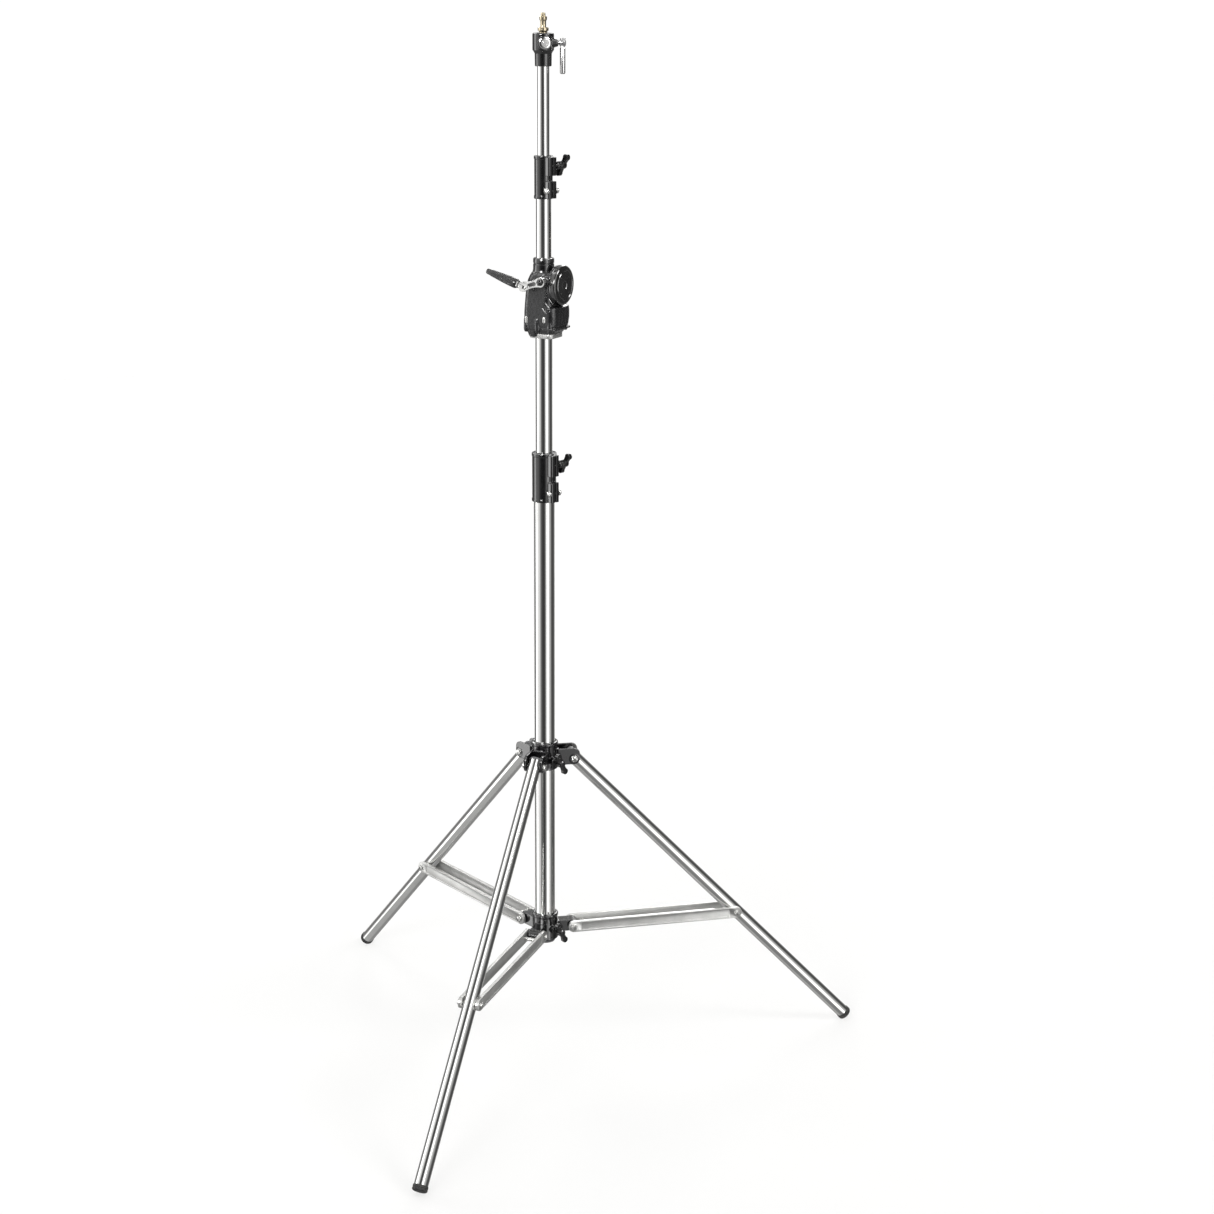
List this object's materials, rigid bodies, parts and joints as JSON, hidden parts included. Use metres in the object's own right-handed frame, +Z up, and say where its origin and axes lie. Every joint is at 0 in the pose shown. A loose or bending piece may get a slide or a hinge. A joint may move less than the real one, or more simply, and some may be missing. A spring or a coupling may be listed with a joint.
{
  "type": "crank lighting stand",
  "caption": "Wind-up lighting stand: telescopic steel column with a geared winch, clamp collars and a stud, on folding legs with braces.",
  "frame": {"origin": "on the floor, in the middle of the box around the three feet", "axes": "+Z up the column, the front leg points along -Y, +X to the right seen from the front; the crank faces the front and the round cover the right"},
  "size_m": [1.264, 1.0991, 2.295],
  "materials": {
    "chromed_steel": "polished chrome plate",
    "cut_steel": "zinc-plated or ground steel",
    "satin_bar": "satin grey",
    "black_casting": "semi-gloss black paint on a casting",
    "black_knob": "moulded, satin black",
    "nylon": "dark moulded nylon",
    "rubber": "matt black rubber",
    "cover": "gloss black",
    "grip": "satin black moulding",
    "flange": "satin",
    "brass": "yellow passivated, polished by use"
  },
  "bodies": {
    "base_column": {"base_tube": "chromed_steel", "base_end_cap": "nylon", "collar_1": "black_casting", "collar_1_bush": "nylon", "collar_1_bolt": "chromed_steel"},
    "collar_1_knob": {"collar_1_knob": "black_knob"},
    "lower_spider": {"lower_spider": "black_casting", "lower_spider_bolt_front": "chromed_steel", "lower_spider_bolt_right": "chromed_steel", "lower_spider_bolt_left": "chromed_steel"},
    "lower_knob": {"lower_spider_knob": "black_knob"},
    "upper_spider": {"upper_spider": "black_casting", "upper_spider_bolt_front": "chromed_steel", "upper_spider_bolt_right": "chromed_steel", "upper_spider_bolt_left": "chromed_steel"},
    "upper_knob": {"upper_spider_knob": "black_knob"},
    "brace_front": {"brace_front": "satin_bar", "brace_front_bolt": "cut_steel"},
    "leg_front": {"leg_front_tube": "chromed_steel", "leg_front_plug": "nylon", "leg_front_foot": "rubber"},
    "brace_right": {"brace_right": "satin_bar", "brace_right_bolt": "cut_steel"},
    "leg_right": {"leg_right_tube": "chromed_steel", "leg_right_plug": "nylon", "leg_right_foot": "rubber"},
    "brace_left": {"brace_left": "satin_bar", "brace_left_bolt": "cut_steel"},
    "leg_left": {"leg_left_tube": "chromed_steel", "leg_left_plug": "nylon", "leg_left_foot": "rubber"},
    "riser_1": {"riser_1_tube": "chromed_steel", "riser_1_guide": "nylon", "winch_housing": "black_casting", "winch_cover": "cover", "upper_guide": "black_casting", "foot_flange": "flange", "one_way_clutch": "cut_steel", "rear_bearing": "brass"},
    "riser_2": {"riser_2_tube": "chromed_steel", "rack": "cut_steel", "collar_2": "black_casting", "collar_2_bush": "nylon", "collar_2_bolt": "chromed_steel"},
    "collar_2_knob": {"collar_2_knob": "black_knob"},
    "crank": {"crank_shaft": "chromed_steel", "drive_pinion": "cut_steel", "brake_disc": "nylon", "crank_arm": "chromed_steel", "crank_nut": "chromed_steel", "grip_pin": "chromed_steel"},
    "grip_arm": {"grip_spindle": "chromed_steel"},
    "grip": {"crank_grip": "grip"},
    "riser_3": {"riser_3_tube": "chromed_steel", "riser_3_guide": "nylon", "top_socket": "black_casting", "boss_screw": "chromed_steel"},
    "lock": {"lock_screw": "chromed_steel", "lock_lever": "chromed_steel"},
    "spigot": {"spigot": "brass"}
  },
  "joints": [
    {"name": "column_drop", "type": "slide", "parent": "base_column", "child": "lower_spider", "axis": [0, 0, -1], "range_m": [-0.25, 0]},
    {"name": "leg_fold", "type": "slide", "parent": "lower_spider", "child": "upper_spider", "axis": [0, 0, 1], "range_m": [0, 0.52112]},
    {"name": "leg_front_hinge", "type": "hinge", "parent": "upper_spider", "child": "leg_front", "pos_m": [0, 0.11418, 0.695], "axis": [1, 0, 0], "range_deg": [0, 40.65]},
    {"name": "brace_front_hinge", "type": "hinge", "parent": "lower_spider", "child": "brace_front", "pos_m": [0, 0.11418, 0.292], "axis": [-1, 0, 0], "range_deg": [0, 84.75]},
    {"name": "leg_right_hinge", "type": "hinge", "parent": "upper_spider", "child": "leg_right", "pos_m": [0.05456, 0.20868, 0.695], "axis": [-0.5, 0.866, 0], "range_deg": [0, 40.65]},
    {"name": "brace_right_hinge", "type": "hinge", "parent": "lower_spider", "child": "brace_right", "pos_m": [0.05456, 0.20868, 0.292], "axis": [0.5, -0.866, 0], "range_deg": [0, 84.75]},
    {"name": "leg_left_hinge", "type": "hinge", "parent": "upper_spider", "child": "leg_left", "pos_m": [-0.05456, 0.20868, 0.695], "axis": [-0.5, -0.866, 0], "range_deg": [0, 40.65]},
    {"name": "brace_left_hinge", "type": "hinge", "parent": "lower_spider", "child": "brace_left", "pos_m": [-0.05456, 0.20868, 0.292], "axis": [0.5, 0.866, 0], "range_deg": [0, 84.75]},
    {"name": "riser_1_slide", "type": "slide", "parent": "base_column", "child": "riser_1", "axis": [0, 0, 1], "range_m": [-0.245, 0.6]},
    {"name": "riser_2_slide", "type": "slide", "parent": "riser_1", "child": "riser_2", "axis": [0, 0, 1], "range_m": [-0.118, 0.6]},
    {"name": "riser_3_slide", "type": "slide", "parent": "riser_2", "child": "riser_3", "axis": [0, 0, 1], "range_m": [-0.15, 0.5]},
    {"name": "crank_turn", "type": "hinge", "parent": "riser_1", "child": "crank", "pos_m": [0.02468, 0.17319, 1.757], "axis": [-0.1599, -0.9871, 0], "range_deg": [-3440, 680]},
    {"name": "grip_fold", "type": "hinge", "parent": "crank", "child": "grip_arm", "pos_m": [-0.02571, 0.12664, 1.74487], "axis": [0.2886, -0.0467, 0.9563], "range_deg": [0, 90]},
    {"name": "grip_spin", "type": "hinge", "parent": "grip_arm", "child": "grip", "pos_m": [-0.02571, 0.12664, 1.74487], "axis": [-0.944, 0.1529, 0.2924], "continuous": true},
    {"name": "collar_1_clamp", "type": "hinge", "parent": "base_column", "child": "collar_1_knob", "pos_m": [0.03326, 0.17286, 1.36268], "axis": [0.4695, 0.8829, 0], "range_deg": [0, 540]},
    {"name": "collar_2_clamp", "type": "hinge", "parent": "riser_2", "child": "collar_2_knob", "pos_m": [0.0273, 0.17603, 1.99064], "axis": [0.4695, 0.8829, 0], "range_deg": [0, 540]},
    {"name": "lower_clamp", "type": "hinge", "parent": "lower_spider", "child": "lower_knob", "pos_m": [0.03317, 0.15803, 0.292], "axis": [0.866, -0.5, 0], "range_deg": [0, 540]},
    {"name": "upper_clamp", "type": "hinge", "parent": "upper_spider", "child": "upper_knob", "pos_m": [0.03317, 0.15803, 0.695], "axis": [0.866, -0.5, 0], "range_deg": [0, 540]},
    {"name": "lock_turn", "type": "hinge", "parent": "riser_3", "child": "lock", "pos_m": [0, 0.17718, 2.2355], "axis": [0.9816, 0.1908, 0], "range_deg": [-170, 170]},
    {"name": "spigot_lift", "type": "slide", "parent": "riser_3", "child": "spigot", "axis": [0, 0, 1], "range_m": [0, 0.033]}
  ],
  "couplings": [
    {"joint": "leg_front_hinge", "follows": "leg_fold", "rad_per_m": 1.3598},
    {"joint": "brace_front_hinge", "follows": "leg_fold", "rad_per_m": 2.8373},
    {"joint": "leg_right_hinge", "follows": "leg_fold", "rad_per_m": 1.3598},
    {"joint": "brace_right_hinge", "follows": "leg_fold", "rad_per_m": 2.8373},
    {"joint": "leg_left_hinge", "follows": "leg_fold", "rad_per_m": 1.3598},
    {"joint": "brace_left_hinge", "follows": "leg_fold", "rad_per_m": 2.8373},
    {"joint": "crank_turn", "follows": "riser_2_slide", "rad_per_m": -100}
  ]
}
